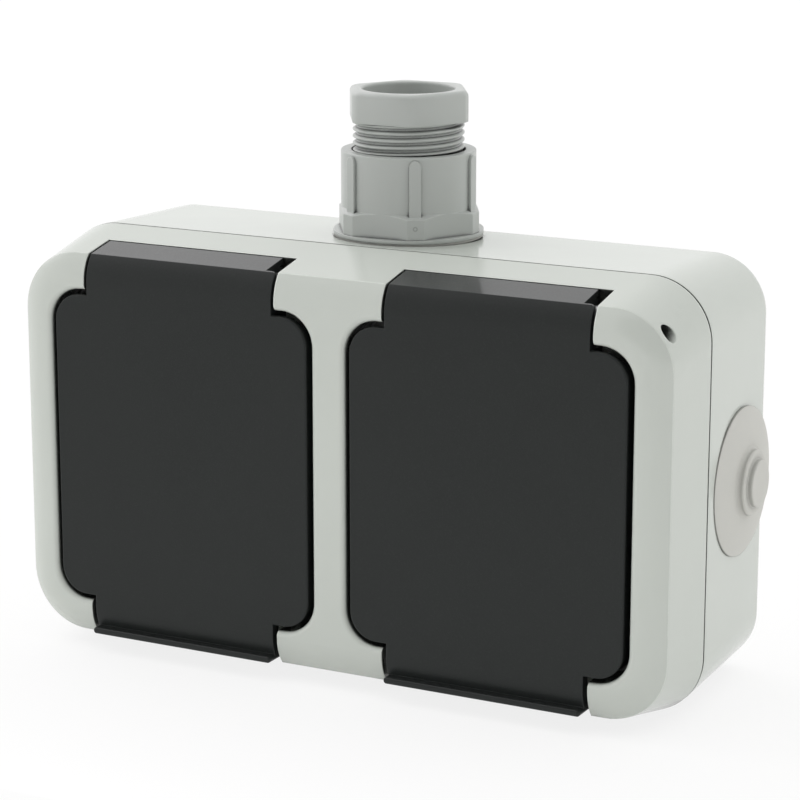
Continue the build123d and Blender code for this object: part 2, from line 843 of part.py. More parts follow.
def make_earth_link():
    reach = lid_pitch / 2 + link_overhang
    near = earth_link_depth - link_width / 2
    bar = block(
        -reach, reach, near, near + link_width, earth_link_low, earth_link_low + link_thickness
    )
    high = earth_link_low + link_thickness
    for x in lid_sides.values():
        bar -= rod_upright(earth_link_low, high, screw_hole, x, -earth_link_depth)
    return bar


# Fasteners
def make_frame_screws():
    return [screw_from_room(frame_screw_length, tray_front, x, z) for x, z in frame_screw_places]


def make_insert_screws():
    return [screw_from_room(insert_screw_length, pot_back, x, z) for x, z in insert_screw_places]


def make_centre_screws():
    return [screw_from_room(centre_screw_length, pot_back + pot_floor, x, 0) for x in lid_sides.values()]


def make_terminal_screws():
    depth = carrier_back - link_thickness
    return [
        screw_from_wall(terminal_screw_length, depth, x + offset, side * terminal_offset)
        for x in lid_sides.values()
        for offset, side in contact_places().values()
    ]


def make_earth_screws():
    height = earth_link_low + link_thickness
    return [Pos(x, -earth_link_depth, height) * screw(earth_screw_length) for x in lid_sides.values()]


# Cable gland
def gland_prism(flats, corner, low, high, turn):
    """Upright hexagon with cut corners, turned by an angle from corners towards +X and -X."""
    hexagon = RegularPolygon(flats / sqrt(3), 6)
    twelve = RegularPolygon(corner / cos(radians(30)), 6, rotation=30)
    section = Rot(0, 0, turn) * (hexagon & twelve)
    return extrude(Plane.XY.offset(low) * Pos(gland_x, gland_y) * section, high - low)


def gland_turned(points):
    """Solid turned about the gland's axis from (radius, height) points."""
    axis = Axis((gland_x, gland_y, 0), (0, 0, 1))
    face = make_face(Polyline(*points, close=True))
    return revolve(Plane(origin=(gland_x, gland_y, 0), z_dir=(0, -1, 0), x_dir=(1, 0, 0)) * face, axis)


def make_gland_body():
    chamfer_run = gland_hex_chamfer / tan(radians(30))
    chamfer_start = gland_hex_corner + gland_hex_chamfer_margin
    body = gland_prism(gland_hex_flats, gland_hex_corner, hex_low, hex_high, gland_body_turn)
    cone = gland_turned(
        [
            (0, hex_low),
            (gland_hex_corner + chamfer_run, hex_low),
            (chamfer_start, hex_high - gland_hex_chamfer),
            (chamfer_start - chamfer_run, hex_high),
            (0, hex_high),
        ]
    )
    body &= cone
    body += rod_upright(flange_low, hex_low, gland_flange_radius, gland_x, gland_y)
    barrel = rod_upright(hex_low, barrel_high, gland_barrel_radius, gland_x, gland_y)
    barrel = fillet(barrel.edges().sort_by(Axis.Z)[-1:], gland_rib_drop / 2)
    body += barrel
    rib_top = barrel_high - gland_rib_drop - gland_rib_width / 2
    for k in range(6):
        rib = extrude(Rectangle(gland_rib_radius, gland_rib_width), rib_top - hex_low)
        rib = Pos(gland_rib_radius / 2, 0, hex_low) * rib
        end = Plane(origin=(0, 0, rib_top), x_dir=(0, 1, 0), z_dir=(1, 0, 0)) * Circle(gland_rib_width / 2)
        rib += extrude(end, gland_rib_radius)
        body += Pos(gland_x, gland_y, 0) * Rot(0, 0, 60 * k + gland_body_turn) * rib
    stub_low = flange_low - gland_stub_length
    body += rod_upright(stub_low, hex_low, gland_stub_radius, gland_x, gland_y)
    body -= rod_upright(gland_floor_high, barrel_high, gland_bore, gland_x, gland_y)
    return body - rod_upright(stub_low, gland_floor_high, gland_stub_bore, gland_x, gland_y)


def make_gland_screw():
    head = gland_prism(gland_head_flats, gland_head_corner, head_low, head_high, gland_screw_turn)
    head = fillet(head.edges().group_by(Axis.Z)[-1], gland_head_round)
    screw_solid = head + rod_upright(shank_low, head_low, gland_thread_radius, gland_x, gland_y)
    screw_solid -= rod_upright(shank_low, head_high, gland_screw_bore, gland_x, gland_y)
    mouth = screw_solid.edges().filter_by(GeomType.CIRCLE).group_by(Axis.Z)[-1]
    return fillet(mouth, gland_bore_round)


def gland_ring(low, high, outer, inner):
    return rod_upright(low, high, outer, gland_x, gland_y) - rod_upright(low, high, inner, gland_x, gland_y)


def make_locknut():
    high = gland_seat_height - gland_pad_wall
    nut = gland_ring(high - locknut_height, high, locknut_radius, gland_stub_radius + running_clearance)
    for k in range(6):
        notch = Pos(locknut_radius, 0, high - locknut_height / 2) * Box(
            2 * locknut_notch_depth, locknut_notch_width, locknut_height
        )
        nut -= Pos(gland_x, gland_y, 0) * Rot(0, 0, 60 * k + 30) * notch
    return nut


def make_grommet():
    """Blanking plug of the side entry: dome, step and button outside, hollow neck with a bead inside."""
    neck = grommet_hole_radius - grommet_neck_clearance
    inside = -grommet_wall - grommet_neck_clearance
    end = inside - grommet_bead_length
    dome_edge = Vector(grommet_radius, grommet_edge)
    dome_end = Vector(grommet_step_radius, grommet_dome)
    rise = (dome_edge + dome_end) / 2 + Vector(0, grommet_bulge)
    step_top = grommet_dome + grommet_step
    button_top = step_top + grommet_button
    lines = Polyline(
        dome_end,
        (grommet_step_radius, step_top),
        (grommet_button_radius, step_top),
        (grommet_button_radius, button_top),
        (0, button_top),
        (0, 0),
        (grommet_bore_radius, 0),
        (grommet_bore_radius, end),
        (neck, end),
        (grommet_bead_radius, inside),
        (neck, inside),
        (neck, 0),
        (grommet_radius, 0),
        dome_edge,
    ) + ThreePointArc(dome_edge, rise, dome_end)
    section = make_face(lines.edges())
    rounds = {
        (grommet_step_radius, grommet_dome): grommet_foot_round,
        (grommet_step_radius, step_top): grommet_step_round,
        (grommet_button_radius, step_top): grommet_button_round,
        (grommet_button_radius, button_top): grommet_button_round,
    }
    for corner, radius in rounds.items():
        section = fillet(section.vertices().sort_by_distance(corner)[:1], radius)
    plug = revolve(Plane.XZ * section, Axis.Z)
    place = Plane(origin=(grommet_seat_x, -entry_depth, 0), x_dir=(0, 1, 0), z_dir=(1, 0, 0))
    return place * plug


def build():
    nodes = {
        "back_box": make_back_box(),
        "front_frame": make_front_frame(),
        "frame_gasket": make_frame_gasket(),
        "frame_screws": make_frame_screws(),
        "insert_screws": make_insert_screws(),
        "centre_screws": make_centre_screws(),
        "terminal_screws": make_terminal_screws(),
        "earth_screws": make_earth_screws(),
        "earth_link": make_earth_link(),
        "gland_body": make_gland_body(),
        "gland_screw": make_gland_screw(),
        "gland_washer": gland_ring(
            washer_low, shank_low, gland_bore - gland_washer_clearance, gland_washer_bore
        ),
        "gland_cable_seal": gland_ring(
            gland_floor_high, washer_low, gland_bore - seal_clearance, cable_bore
        ),
        "gland_flange_seal": gland_ring(
            gland_seat_height,
            flange_low,
            gland_flange_radius - gland_seal_inset,
            gland_stub_radius + gland_hole_clearance,
        ),
        "gland_locknut": make_locknut(),
        "side_grommet": make_grommet(),
    }
    for name, (offset, side) in contact_places().items():
        nodes[f"{name}_link"] = make_link(offset, side)
    for hand, x in lid_sides.items():
        nodes[f"lid_{hand}"] = make_lid(x)
        nodes[f"lid_gasket_{hand}"] = make_lid_gasket(x)
        nodes[f"hinge_pin_{hand}"] = make_hinge_pin(x)
        nodes[f"lid_spring_{hand}"] = make_lid_spring(x)
        nodes[f"socket_pot_{hand}"] = make_pot(x)
        nodes[f"contact_carrier_{hand}"] = make_carrier(x)
        nodes[f"earth_strap_{hand}"] = make_earth_strap(x)
        for name, (offset, side) in contact_places().items():
            nodes[f"{name}_contact_{hand}"] = make_contact(x + offset, side)
    return nodes


os.makedirs("parts", exist_ok=True)
for node_name, shape in build().items():
    solid = Compound(shape) if isinstance(shape, list) else shape
    export_step(solid, f"parts/{node_name}.step")
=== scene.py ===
"""Looks of a double surface-mounted socket, and the studio that it is pictured in.

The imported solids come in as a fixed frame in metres: the origin is the middle of the back face on the wall,
+X runs right, +Y into the wall and +Z up. The solids keep their places and get their finishes here, and the
gland's screw, whose thread shows, is modelled anew over its plain solid.
"""

import logging
import math
from dataclasses import dataclass, field
from enum import Enum
from typing import Callable, Dict, Optional, Sequence, Tuple, Union

import bpy
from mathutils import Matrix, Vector


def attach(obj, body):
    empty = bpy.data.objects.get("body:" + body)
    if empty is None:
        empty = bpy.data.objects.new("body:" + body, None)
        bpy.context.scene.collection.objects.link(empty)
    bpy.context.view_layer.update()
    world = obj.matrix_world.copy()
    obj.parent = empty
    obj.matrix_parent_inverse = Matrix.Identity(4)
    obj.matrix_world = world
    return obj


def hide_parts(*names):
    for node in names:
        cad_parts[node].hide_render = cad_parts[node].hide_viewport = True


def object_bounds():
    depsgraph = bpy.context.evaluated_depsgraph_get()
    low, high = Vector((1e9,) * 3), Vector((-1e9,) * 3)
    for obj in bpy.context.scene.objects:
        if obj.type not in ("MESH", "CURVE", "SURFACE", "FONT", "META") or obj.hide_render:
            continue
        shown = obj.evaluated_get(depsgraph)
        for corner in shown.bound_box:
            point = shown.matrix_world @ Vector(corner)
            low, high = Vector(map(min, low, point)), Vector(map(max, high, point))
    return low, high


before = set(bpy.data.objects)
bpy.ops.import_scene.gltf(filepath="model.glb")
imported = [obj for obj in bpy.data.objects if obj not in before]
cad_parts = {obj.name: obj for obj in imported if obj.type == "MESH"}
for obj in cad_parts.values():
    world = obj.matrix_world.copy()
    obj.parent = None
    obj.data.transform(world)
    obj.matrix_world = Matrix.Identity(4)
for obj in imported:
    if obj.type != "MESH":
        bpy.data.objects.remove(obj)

CAD_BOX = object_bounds()
LOG = logging.getLogger("socket")
Colour = Tuple[float, float, float, float]
Triple = Tuple[float, float, float]
EdgeTest = Callable[[Vector, Vector], bool]

# A screen's colour curve: straight up to the knee, and a power above it.
SCREEN_TOP = 255.0
SCREEN_KNEE = 0.04045
SCREEN_SLOPE = 12.92
SCREEN_OFFSET = 0.055
SCREEN_POWER = 2.4

# The places of a Mix node's colours among its inputs, and of the mixed colour among its outputs.
MIX_FIRST = 6
MIX_SECOND = 7
MIX_RESULT = 2

# The value that a cloudy pattern swings round.
CLOUD_MIDDLE = 0.5
# A right angle in degrees.
UPRIGHT = 90.0
# How far apart two heights may be and still count as one, in metres.
HAIR = 1e-6
WHITE: Colour = (1.0, 1.0, 1.0, 1.0)


def linear(share: float) -> float:
    """Turns a share of a screen's range into a share of light.

    Args:
        share: The share of the screen's range, from 0 to 1.

    Returns:
        The share of light, from 0 to 1.
    """
    if share <= SCREEN_KNEE:
        return share / SCREEN_SLOPE
    return ((share + SCREEN_OFFSET) / (1.0 + SCREEN_OFFSET)) ** SCREEN_POWER


def tint(red: float, green: float, blue: float) -> Colour:
    """Turns a colour as a screen shows it into the linear one that a shader takes.

    Args:
        red: Red from 0 to 255.
        green: Green from 0 to 255.
        blue: Blue from 0 to 255.

    Returns:
        The linear colour with an alpha of 1.
    """
    light = [linear(part / SCREEN_TOP) for part in (red, green, blue)]
    return (light[0], light[1], light[2], 1.0)


def scaled(colour: Colour, factor: float) -> Colour:
    """Returns a colour made lighter or darker by a factor."""
    return (colour[0] * factor, colour[1] * factor, colour[2] * factor, 1.0)


class Signal:
    """A shader socket that takes part in Python expressions."""

    def __init__(self, graph: "Graph", socket: Optional[bpy.types.NodeSocket]) -> None:
        """Keeps the socket and the graph that it belongs to."""
        self.graph = graph
        self.socket = socket

    def _maths(self, operation: str, first: "Value", second: "Value") -> "Signal":
        """Adds a Math node for one operation and returns its result."""
        return self.graph.add("ShaderNodeMath", {"operation": operation}, {0: first, 1: second})

    def __add__(self, other: "Value") -> "Signal":
        """Adds a value on the right."""
        return self._maths("ADD", self, other)

    def __radd__(self, other: "Value") -> "Signal":
        """Adds a value on the left."""
        return self._maths("ADD", other, self)

    def __sub__(self, other: "Value") -> "Signal":
        """Takes a value off."""
        return self._maths("SUBTRACT", self, other)

    def __rsub__(self, other: "Value") -> "Signal":
        """Is taken off a value."""
        return self._maths("SUBTRACT", other, self)

    def __mul__(self, other: "Value") -> "Signal":
        """Multiplies by a value on the right."""
        return self._maths("MULTIPLY", self, other)

    def __rmul__(self, other: "Value") -> "Signal":
        """Multiplies by a value on the left."""
        return self._maths("MULTIPLY", other, self)

    def swing(self, span: float) -> "Signal":
        """Returns a cloudy value that is moved to swing round 0, times a span."""
        return (self - CLOUD_MIDDLE) * span

    def above(self, limit: float, softness: float) -> "Signal":
        """Gives a soft mask of where the value is above a limit.

        Args:
            limit: The value at which the mask is half.
            softness: How far on each side of the limit the mask takes to change.

        Returns:
            A value from 0 to 1.
        """
        settings = {"interpolation_type": "SMOOTHSTEP"}
        sockets = {0: self, 1: limit - softness, 2: limit + softness, 3: 0.0, 4: 1.0}
        return self.graph.add("ShaderNodeMapRange", settings, sockets)


Value = Union[float, Signal]


class Graph:
    """The nodes of one material or world."""

    def __init__(self, tree: bpy.types.NodeTree) -> None:
        """Starts from an empty node tree."""
        tree.nodes.clear()
        self.tree = tree

    def add(
        self,
        kind: str,
        settings: Optional[Dict[str, object]] = None,
        sockets: Optional[Dict[Union[str, int], object]] = None,
        output: Union[str, int] = 0,
    ) -> Signal:
        """Adds one node.

        Args:
            kind: The node's type.
            settings: The node's own properties, set before its sockets.
            sockets: Values or signals of its inputs, by name or number.
            output: The output to return, by name or number.

        Returns:
            The chosen output, which is empty on a node that has none.
        """
        node = self.tree.nodes.new(kind)
        for name, value in (settings or {}).items():
            setattr(node, name, value)
        for key, value in (sockets or {}).items():
            if isinstance(value, Signal):
                self.tree.links.new(value.socket, node.inputs[key])
            else:
                node.inputs[key].default_value = value
        return Signal(self, node.outputs[output] if node.outputs else None)

    def place(self) -> Signal:
        """Returns the point's place on the object, in metres."""
        return self.add("ShaderNodeTexCoord", output="Object")

    def noise(self, place: Signal, size: float, detail: float = 2.0, rough: float = 0.5) -> Signal:
        """Adds a cloudy pattern.

        Args:
            place: The point that it is read at.
            size: The breadth of one cloud, in the place's own unit.
            detail: How many finer layers it has.
            rough: How strong the finer layers are.

        Returns:
            A value around CLOUD_MIDDLE.
        """
        sockets = {"Vector": place, "Scale": 1.0 / size, "Detail": detail, "Roughness": rough}
        return self.add("ShaderNodeTexNoise", None, sockets)

    def stretched(self, place: Signal, scale: Triple) -> Signal:
        """Returns a place that is scaled along each axis."""
        return self.add("ShaderNodeMapping", {"vector_type": "POINT"}, {"Vector": place, "Scale": scale})

    def measure(self, operation: str, first: object, second: object) -> Signal:
        """Returns the number that a Vector Math operation gives for two vectors."""
        return self.add("ShaderNodeVectorMath", {"operation": operation}, {0: first, 1: second}, "Value")

    def blend(self, share: Value, first: object, second: object) -> Signal:
        """Mixes two colours, or signals of colours, by the share of the second."""
        sockets = {0: share, MIX_FIRST: first, MIX_SECOND: second}
        return self.add("ShaderNodeMix", {"data_type": "RGBA"}, sockets, MIX_RESULT)

    def seen(self) -> Signal:
        """Tells the rays that show the background from those that only light the socket.

        Returns:
            1 for rays from the camera, off gloss or through glass, otherwise 0.
        """
        camera = self.add("ShaderNodeLightPath", output="Is Camera Ray")
        glossy = self.add("ShaderNodeLightPath", output="Is Glossy Ray")
        through = self.add("ShaderNodeLightPath", output="Is Transmission Ray")
        return self.add("ShaderNodeMath", {"operation": "MINIMUM"}, {0: camera + glossy + through, 1: 1.0})


def blank_material(name: str) -> Tuple[bpy.types.Material, Graph]:
    """Makes a material with an empty graph.

    Args:
        name: The material's name.

    Returns:
        The material and its graph.
    """
    material = bpy.data.materials.new(name)
    material.use_nodes = True
    return material, Graph(material.node_tree)


@dataclass(frozen=True)
class Finish:
    """What every finish has: a name, a colour, softened edges, and ways to paint shade into gaps and
    highlights onto edges.
    """

    name: str
    colour: Colour
    roughness: float = 0.4
    gloss: float = 0.5
    edge_round: float = 0.0002
    painted_highlight_limit: float = 0.08
    painted_highlight_softness: float = 0.03
    edge_samples: int = 6
    painted_shade_limit: float = 0.5
    painted_shade_softness: float = 0.12
    painted_shade_samples: int = 8

    def material(self) -> bpy.types.Material:
        """Makes the finish's material.

        Returns:
            A new material with its nodes.
        """
        material, graph = blank_material(self.name)
        material.diffuse_color = self.colour
        graph.add("ShaderNodeOutputMaterial", None, {"Surface": self.surface(graph)})
        return material

    def surface(self, graph: Graph) -> Signal:
        """Returns the finish's shader; each kind of finish has its own."""
        return graph.add("ShaderNodeBsdfPrincipled", None, {"Base Color": self.colour})

    def clouded(self, graph: Graph, clouds: Signal, swing: float) -> Signal:
        """Returns the colour, made darker and lighter by clouds."""
        return graph.blend(clouds, scaled(self.colour, 1.0 - swing), scaled(self.colour, 1.0 + swing))

    def soft_edges(self, graph: Graph) -> Signal:
        """Returns a normal that runs softly round sharp edges."""
        return graph.add("ShaderNodeBevel", {"samples": self.edge_samples}, {"Radius": self.edge_round})

    def painted_crevice_shade(self, graph: Graph, reach: float) -> Signal:
        """Finds narrow gaps and inner corners, where shade is painted into the colour.

        Args:
            graph: The material's graph.
            reach: How far away a neighbour still shades a point, in metres.

        Returns:
            A mask of painted shade that is 1 deep in a gap and 0 on open faces.
        """
        settings = {"samples": self.painted_shade_samples}
        open_share = graph.add("ShaderNodeAmbientOcclusion", settings, {"Distance": reach}, "AO")
        return (1.0 - open_share).above(self.painted_shade_limit, self.painted_shade_softness)

    def edges(self, graph: Graph) -> Signal:
        """Finds sharp edges, where a highlight is painted into the colour in place of the light that their
        tiny rounding catches.

        Args:
            graph: The material's graph.

        Returns:
            A mask of painted highlight that is 1 on an edge and 0 on faces.
        """
        facing = graph.add("ShaderNodeNewGeometry", output="Normal")
        likeness = graph.measure("DOT_PRODUCT", self.soft_edges(graph), facing)
        return (1.0 - likeness).above(self.painted_highlight_limit, self.painted_highlight_softness)

    def bumped(self, graph: Graph, height: Signal, depth: float) -> Signal:
        """Puts a relief on the softened normal.

        Args:
            graph: The material's graph.
            height: The relief, from 0 to 1.
            depth: The height that 1 stands for, in metres.

        Returns:
            The normal.
        """
        sockets = {"Strength": 1.0, "Distance": depth, "Height": height, "Normal": self.soft_edges(graph)}
        return graph.add("ShaderNodeBump", None, sockets)


@dataclass(frozen=True)
class Moulded(Finish):
    """Smooth moulded plastic: faint flow clouds, an even skin, painted shade in gaps and painted highlights
    on edges.
    """

    cloud: float = 0.02
    cloud_size: float = 0.016
    cloud_detail: float = 3.0
    roughness_swing: float = 0.06
    skin_size: float = 0.0025
    skin_detail: float = 1.0
    relief: float = 0.000002
    painted_shade_strength: float = 0.97
    painted_shade_dark: float = 0.04
    painted_shade_reach: float = 0.0015
    painted_edge_highlight: float = 1.2
    gate: Optional[Triple] = None
    gate_shade: float = 0.35
    gate_radius: float = 0.0005
    gate_softness: float = 0.25
    gate_inside: float = 0.55
    gate_inside_softness: float = 0.2

    def surface(self, graph: Graph) -> Signal:
        """Builds the plastic's shader.

        Args:
            graph: The material's graph.

        Returns:
            The shader.
        """
        place = graph.place()
        clouds = graph.noise(place, self.cloud_size, self.cloud_detail)
        relief = graph.noise(place, self.skin_size, self.skin_detail)
        colour = self.clouded(graph, clouds, self.cloud)
        # Painted shade: gaps and inner corners are darkened in the colour; the gate's ring, a real mould
        # mark, is added to the same mask.
        shade = self.painted_crevice_shade(graph, self.painted_shade_reach) * self.painted_shade_strength
        if self.gate is not None:
            shade = shade + self._gate_mark(graph, place) * self.gate_shade
        # Painted highlight: sharp edges are lightened in the colour.
        colour = graph.blend(self.edges(graph), colour, scaled(self.colour, self.painted_edge_highlight))
        sockets = {
            "Base Color": graph.blend(shade, colour, scaled(self.colour, self.painted_shade_dark)),
            "Roughness": self.roughness + clouds.swing(self.roughness_swing),
            "Specular IOR Level": self.gloss,
            "Normal": self.bumped(graph, relief, self.relief),
        }
        return graph.add("ShaderNodeBsdfPrincipled", None, sockets)

    def _gate_mark(self, graph: Graph, place: Signal) -> Signal:
        """Marks the small ring where the plastic was let into the mould.

        Args:
            graph: The material's graph.
            place: The point on the piece.

        Returns:
            A mask that is 1 on the ring.
        """
        away = graph.measure("DISTANCE", place, self.gate)
        edge = self.gate_radius
        inside = away.above(edge * self.gate_inside, edge * self.gate_inside_softness)
        return inside - away.above(edge, edge * self.gate_softness)


@dataclass(frozen=True)
class Grained(Finish):
    """Dark plastic with a fine eroded grain in front and a smoother skin on top, with painted glints on the
    grain and painted highlights on edges.
    """

    grain_size: float = 0.00045
    grain_detail: float = 3.0
    grain_rough: float = 0.6
    grain_swing: float = 0.2
    relief: float = 0.00003
    cloud: float = 0.1
    cloud_size: float = 0.012
    cloud_detail: float = 3.0
    cloud_swing: float = 0.08
    painted_glint_limit: float = 0.6
    painted_glint_softness: float = 0.1
    painted_glint_share: float = 0.35
    painted_glint_light: float = 1.5
    top_limit: float = 0.8
    top_softness: float = 0.12
    top_evenness: float = 0.9
    top_gloss: float = 0.8
    top_roughness: float = 0.1
    painted_edge_highlight: float = 2.2

    def surface(self, graph: Graph) -> Signal:
        """Builds the grained plastic's shader.

        Args:
            graph: The material's graph.

        Returns:
            The shader.
        """
        place = graph.place()
        facing = graph.add("ShaderNodeTexCoord", output="Normal")
        rise = graph.add("ShaderNodeSeparateXYZ", None, {0: facing}, "Z")
        upward = rise.above(self.top_limit, self.top_softness)
        grain = graph.noise(place, self.grain_size, self.grain_detail, self.grain_rough)
        clouds = graph.noise(place, self.cloud_size, self.cloud_detail)
        ground = self.clouded(graph, clouds, self.cloud)
        # Painted glints: the grain's peaks are lightened in the colour.
        painted_glints = grain.above(self.painted_glint_limit, self.painted_glint_softness) * self.painted_glint_share
        ground = graph.blend(painted_glints, ground, scaled(self.colour, self.painted_glint_light))
        height = grain * (1.0 - upward * self.top_evenness)
        sockets = {
            # Painted highlight: sharp edges are lightened in the colour.
            "Base Color": graph.blend(self.edges(graph), ground, scaled(self.colour, self.painted_edge_highlight)),
            "Roughness": self.roughness + grain.swing(self.grain_swing) + clouds.swing(self.cloud_swing),
            "Specular IOR Level": self.gloss,
            "Coat Weight": upward * self.top_gloss,
            "Coat Roughness": self.top_roughness,
            "Normal": self.bumped(graph, height, self.relief),
        }
        return graph.add("ShaderNodeBsdfPrincipled", None, sockets)


@dataclass(frozen=True)
class Rubber(Finish):
    """Soft matte rubber with a faint bloom, and painted shade where it meets its neighbours."""

    bloom: float = 0.06
    bloom_size: float = 0.004
    bloom_detail: float = 4.0
    bloom_rough: float = 0.6
    bloom_swing: float = 0.15
    grain_size: float = 0.0003
    grain_detail: float = 2.0
    relief: float = 0.00003
    painted_shade_foot_reach: float = 0.0035
    painted_foot_shade_share: float = 0.4
    painted_foot_shade_dark: float = 0.2

    def surface(self, graph: Graph) -> Signal:
        """Builds the rubber's shader.

        Args:
            graph: The material's graph.

        Returns:
            The shader.
        """
        place = graph.place()
        bloom = graph.noise(place, self.bloom_size, self.bloom_detail, self.bloom_rough)
        grain = graph.noise(place, self.grain_size, self.grain_detail)
        colour = self.clouded(graph, bloom, self.bloom)
        # Painted shade: the rubber is darkened in the colour at its foot, where it meets its neighbours.
        foot = self.painted_crevice_shade(graph, self.painted_shade_foot_reach) * self.painted_foot_shade_share
        sockets = {
            "Base Color": graph.blend(foot, colour, scaled(self.colour, self.painted_foot_shade_dark)),
            "Roughness": self.roughness + bloom.swing(self.bloom_swing),
            "Specular IOR Level": self.gloss,
            "Normal": self.bumped(graph, grain, self.relief),
        }
        return graph.add("ShaderNodeBsdfPrincipled", None, sockets)


@dataclass(frozen=True)
class Metal(Finish):
    """Plated or rolled metal with fine drawing lines and a cloudy tarnish."""

    tarnish: Colour = (0.3, 0.3, 0.3, 1.0)
    tarnish_share: float = 0.3
    tarnish_size: float = 0.003
    tarnish_detail: float = 3.0
    tarnish_swing: float = 0.1
    line_scale: Triple = (300.0, 6000.0, 300.0)
    line_detail: float = 2.0
    line_swing: float = 0.2
    relief: float = 0.000004

    def surface(self, graph: Graph) -> Signal:
        """Builds the metal's shader.

        Args:
            graph: The material's graph.

        Returns:
            The shader.
        """
        place = graph.place()
        drawn = graph.stretched(place, self.line_scale)
        lines = graph.noise(drawn, size=1.0, detail=self.line_detail)
        clouds = graph.noise(place, self.tarnish_size, self.tarnish_detail)
        sockets = {
            "Base Color": graph.blend(clouds * self.tarnish_share, self.colour, self.tarnish),
            "Metallic": 1.0,
            "Roughness": self.roughness + lines.swing(self.line_swing) + clouds.swing(self.tarnish_swing),
            "Normal": self.bumped(graph, lines, self.relief),
        }
        return graph.add("ShaderNodeBsdfPrincipled", None, sockets)


class Finishes(Enum):
    """The finishes of the socket, which the nodes' material slots get."""

    HOUSING = Moulded(
        "housing",
        tint(201, 206, 199),
        roughness=0.14,
        edge_round=0.0006,
        painted_edge_highlight=1.4,
        painted_shade_reach=0.006,
    )
    LID = Grained("lid", tint(36, 39, 38), roughness=0.45, gloss=0.25, edge_round=0.0003)
    INSERT = Moulded("insert", tint(44, 46, 47), roughness=0.34, gloss=0.35)
    SEAL = Rubber("seal", tint(28, 28, 29), roughness=0.72, gloss=0.3)
    STEEL = Metal("steel", tint(196, 197, 196), roughness=0.32, tarnish=tint(150, 152, 152))
    CONTACT = Metal("contact", tint(214, 184, 118), roughness=0.3, tarnish=tint(176, 138, 80))
    GLAND = Moulded(
        "gland",
        tint(182, 186, 182),
        roughness=0.3,
        gloss=0.45,
        edge_round=0.0004,
        painted_edge_highlight=1.3,
        painted_shade_limit=0.42,
        gate=(0.0071, -0.0296, 0.0487),
    )
    GROMMET = Rubber(
        "grommet",
        tint(204, 204, 198),
        roughness=0.55,
        gloss=0.35,
        edge_round=0.0004,
        painted_shade_limit=0.26,
        bloom=0.03,
    )


class Wardrobe:
    """Makes each finish's material once and puts it on pieces."""

    def __init__(self) -> None:
        """Starts with no materials made."""
        self.made: Dict[Finishes, bpy.types.Material] = {}

    def material(self, finish: Finishes) -> bpy.types.Material:
        """Gives a finish's material, which is made at its first use.

        Args:
            finish: The finish.

        Returns:
            The finish's one material.
        """
        if finish not in self.made:
            self.made[finish] = finish.value.material()
        return self.made[finish]

    def dress(self, nodes: Sequence[str], finish: Finishes) -> None:
        """Puts a finish on nodes of the frame.

        Args:
            nodes: The nodes' names.
            finish: The finish that they get.
        """
        for name in nodes:
            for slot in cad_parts[name].material_slots:
                slot.material = self.material(finish)
            LOG.info("%s: %s", name, finish.name.lower())

    def dress_piece(self, piece: bpy.types.Object, finish: Finishes) -> None:
        """Puts a finish on a new piece, in a slot of its own, and logs it.

        Args:
            piece: The piece.
            finish: The finish that it gets.
        """
        piece.data.materials.clear()
        piece.data.materials.append(self.material(finish))
        LOG.info("%s: %s", piece.name, finish.name.lower())


class Joining(Enum):
    """What becomes of a second piece when it meets a first one."""

    ADDED = "UNION"
    CUT_OUT = "DIFFERENCE"


class BevelSize(Enum):
    """What a bevel's size is measured along."""

    BESIDE_EDGE = "OFFSET"
    ACROSS_BEVEL = "WIDTH"


